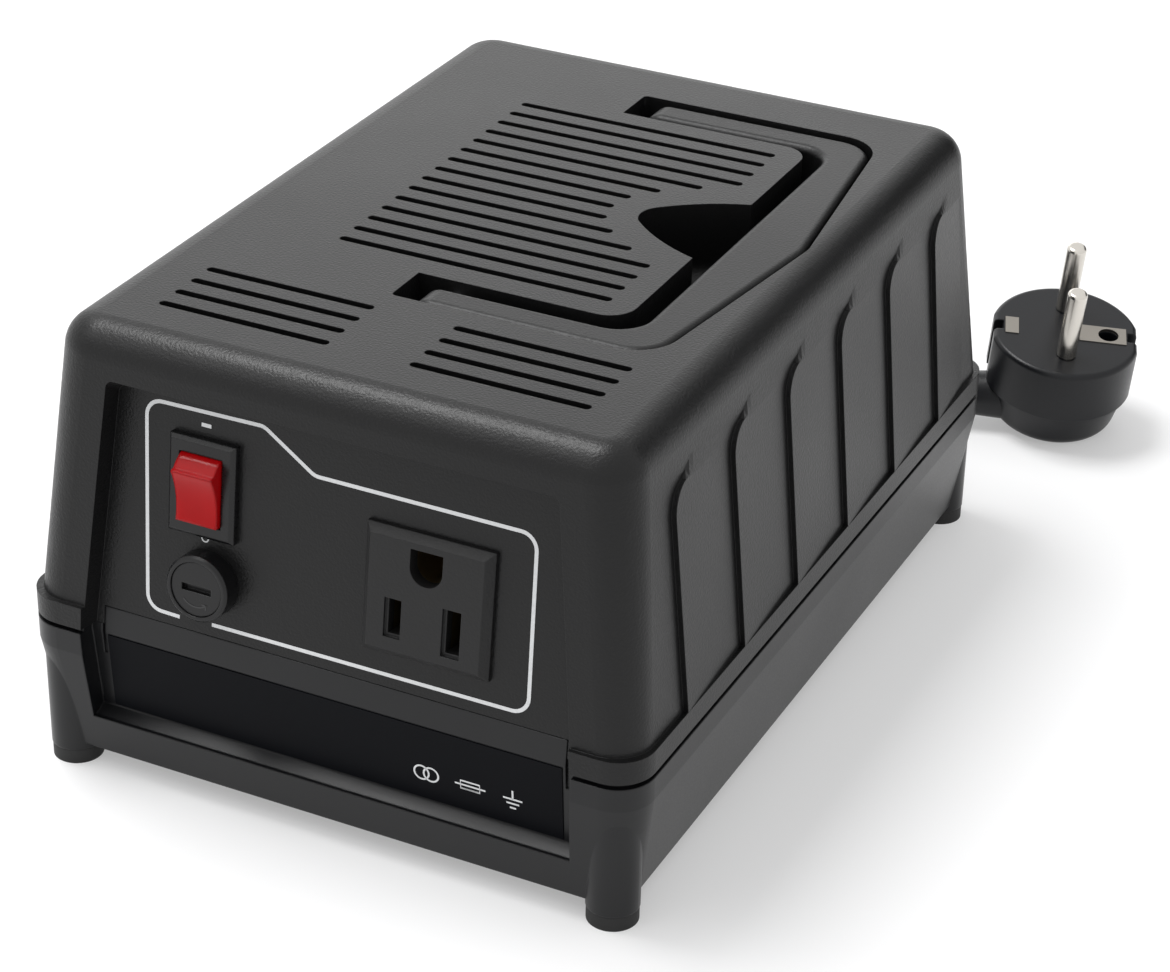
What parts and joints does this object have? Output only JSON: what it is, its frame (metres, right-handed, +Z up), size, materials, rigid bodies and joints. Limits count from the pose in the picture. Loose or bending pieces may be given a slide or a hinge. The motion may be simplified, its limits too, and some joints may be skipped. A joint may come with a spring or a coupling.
{
  "type": "travel voltage converter",
  "caption": "Boxy mains voltage converter with slotted roof, folding carry handle, sunk front panel with rocker switch, fuse holder and earthed outlet, and a mains lead with plug.",
  "frame": {"origin": "on the floor under the middle of the housing", "axes": "front panel faces -Y, outlet side is +X, +Z is up"},
  "size_m": [0.1747, 0.2932, 0.1],
  "materials": {
    "shell": "fine-textured satin black",
    "base": "smooth satin black",
    "handle": "fine-textured satin black",
    "label": "smooth dark film",
    "fitting": "speckled matte black",
    "red": "glossy translucent red",
    "rubber": "matte",
    "steel": "zinc plated",
    "iron": "varnished laminations",
    "brass": "plain",
    "nickel": "nickel plated",
    "bobbin": "natural nylon",
    "copper": "enamelled copper under tape",
    "glass": "clear",
    "cord": "satin flexible jacket",
    "plug": "moulded satin black"
  },
  "bodies": {
    "housing": {"upper_housing": "shell", "handle_pins": "steel", "lower_housing": "base", "rubber_feet": "rubber", "housing_screws": "steel", "panel_label": "label", "outlet_body": "fitting", "outlet_blade_contacts": "brass", "outlet_earth_contact": "brass", "switch_frame": "fitting", "switch_terminals": "brass", "switch_lamp": "glass", "fuse_holder": "fitting", "fuse_nut": "fitting", "fuse_contacts": "brass", "transformer_core": "iron", "transformer_bobbin": "bobbin", "transformer_winding": "copper", "transformer_straps": "steel", "transformer_bolts": "steel", "thermal_cutout": "fitting", "cord_strain_relief": "cord", "cord_lead": "cord", "cord_coil": "cord", "cord_tail": "cord", "plug_body": "plug", "plug_pins": "nickel", "plug_earth_contacts": "nickel"},
    "handle": {"carry_handle": "handle"},
    "rocker": {"power_rocker": "red"},
    "fuse_slide": {"fuse_carrier": "fitting", "fuse_tube": "glass", "fuse_ends": "nickel"},
    "fuse_knob": {"fuse_cap": "fitting"}
  },
  "joints": [
    {"name": "handle_lift", "type": "hinge", "parent": "housing", "child": "handle", "pos_m": [-0.001, 0.0103, 0.095], "axis": [0, -1, 0], "range_deg": [0, 105]},
    {"name": "rocker_press", "type": "hinge", "parent": "housing", "child": "rocker", "pos_m": [-0.0292, -0.08471, 0.06987], "axis": [-1, 0, 0], "range_deg": [0, 24]},
    {"name": "fuse_draw", "type": "slide", "parent": "housing", "child": "fuse_slide", "axis": [0, -0.9928, 0.1201], "range_m": [0, 0.025]},
    {"name": "fuse_turn", "type": "hinge", "parent": "fuse_slide", "child": "fuse_knob", "pos_m": [-0.0281, -0.09011, 0.05018], "axis": [0, -0.9928, 0.1201], "range_deg": [-90, 0]}
  ]
}
